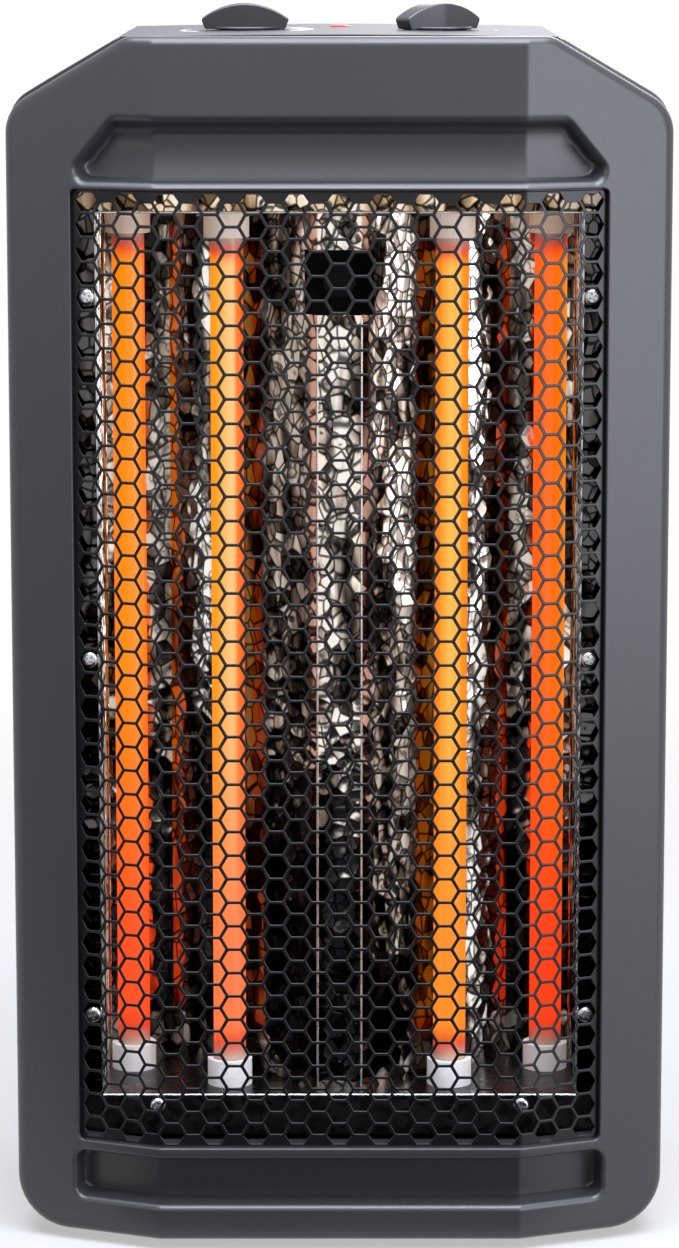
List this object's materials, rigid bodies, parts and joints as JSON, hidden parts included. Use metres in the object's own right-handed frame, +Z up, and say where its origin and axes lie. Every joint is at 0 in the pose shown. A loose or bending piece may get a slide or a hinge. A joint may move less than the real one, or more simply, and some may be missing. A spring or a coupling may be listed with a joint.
{
  "type": "tower space heater",
  "caption": "Upright quartz space heater: faceted dark case, hexagon grille over glowing tubes and a mirror, two turn knobs and a light on top.",
  "frame": {"origin": "on the floor under the middle of the overall box", "axes": "+X to the viewer's right, +Y from the front to the back, +Z up"},
  "size_m": [0.318, 0.19, 0.6036],
  "materials": {
    "bezel_plastic": "fine moulded grain",
    "shell_plastic": "fine moulded grain",
    "panel_plastic": "satin moulding with printed marks",
    "knob_plastic": "satin",
    "grille_enamel": "black enamel on punched sheet",
    "foot_rubber": "matt",
    "lens_red": "clear red",
    "lamp_glass": "neon lamp",
    "mirror_sheet": "bright rolled sheet",
    "plated_sheet": "zinc plated sheet",
    "quartz": "clear drawn quartz",
    "heating_wire": "wound resistance wire, glowing",
    "ceramic": "unglazed ceramic",
    "bus_brass": "stamped strip",
    "shaft_steel": "turned",
    "control_plastic": "black moulding",
    "plunger_plastic": "pale moulding",
    "cutout_metal": "pressed cap",
    "gland_rubber": "matt",
    "terminal_plastic": "pale moulding",
    "lead_insulation": "silicone sleeve",
    "zinc_screws": "bright zinc"
  },
  "bodies": {
    "case": {"front_bezel": "bezel_plastic", "rear_shell": "shell_plastic", "control_panel": "panel_plastic", "grille": "grille_enamel", "front_left_foot": "foot_rubber", "front_right_foot": "foot_rubber", "rear_left_foot": "foot_rubber", "rear_right_foot": "foot_rubber", "power_light_lens": "lens_red", "power_light_lamp": "lamp_glass", "reflector": "mirror_sheet", "upper_end_plate": "plated_sheet", "lower_end_plate": "plated_sheet", "left_rail": "plated_sheet", "right_rail": "plated_sheet", "cross_rail": "plated_sheet", "cutout_bracket": "plated_sheet", "quartz_tube_1": "quartz", "quartz_tube_2": "quartz", "quartz_tube_3": "quartz", "quartz_tube_4": "quartz", "heating_coil_1": "heating_wire", "heating_coil_2": "heating_wire", "heating_coil_3": "heating_wire", "heating_coil_4": "heating_wire", "lower_cap_1": "ceramic", "lower_cap_2": "ceramic", "lower_cap_3": "ceramic", "lower_cap_4": "ceramic", "upper_cap_1": "ceramic", "upper_cap_2": "ceramic", "upper_cap_3": "ceramic", "upper_cap_4": "ceramic", "upper_bus_bar": "bus_brass", "inner_bus_bar": "bus_brass", "outer_bus_bar": "bus_brass", "thermostat_body": "control_plastic", "selector_body": "control_plastic", "tip_switch_body": "control_plastic", "thermal_cutout": "cutout_metal", "cord_gland": "gland_rubber", "terminal_block": "terminal_plastic", "low_heat_lead": "lead_insulation", "high_heat_lead": "lead_insulation", "neutral_lead": "lead_insulation", "live_lead": "lead_insulation", "link_lead": "lead_insulation", "safety_lead": "lead_insulation", "reflector_screws": "zinc_screws", "case_screws": "zinc_screws", "panel_screws": "zinc_screws", "rail_screws": "zinc_screws", "control_screws": "zinc_screws"},
    "thermostat_dial": {"thermostat_knob": "knob_plastic", "thermostat_shaft": "shaft_steel"},
    "selector_dial": {"selector_knob": "knob_plastic", "selector_shaft": "shaft_steel"},
    "plunger": {"tip_plunger": "plunger_plastic"}
  },
  "joints": [
    {"name": "thermostat_turn", "type": "hinge", "parent": "case", "child": "thermostat_dial", "pos_m": [-0.046, 0, 0.59], "axis": [0, 0, 1], "range_deg": [-135, 135]},
    {"name": "selector_turn", "type": "hinge", "parent": "case", "child": "selector_dial", "pos_m": [0.048, 0, 0.59], "axis": [0, 0, 1], "range_deg": [-90, 30]},
    {"name": "plunger_drop", "type": "slide", "parent": "case", "child": "plunger", "axis": [0, 0, -1], "range_m": [0, 0.006], "stiffness_N_per_m": 40, "springref_m": 0.012}
  ]
}
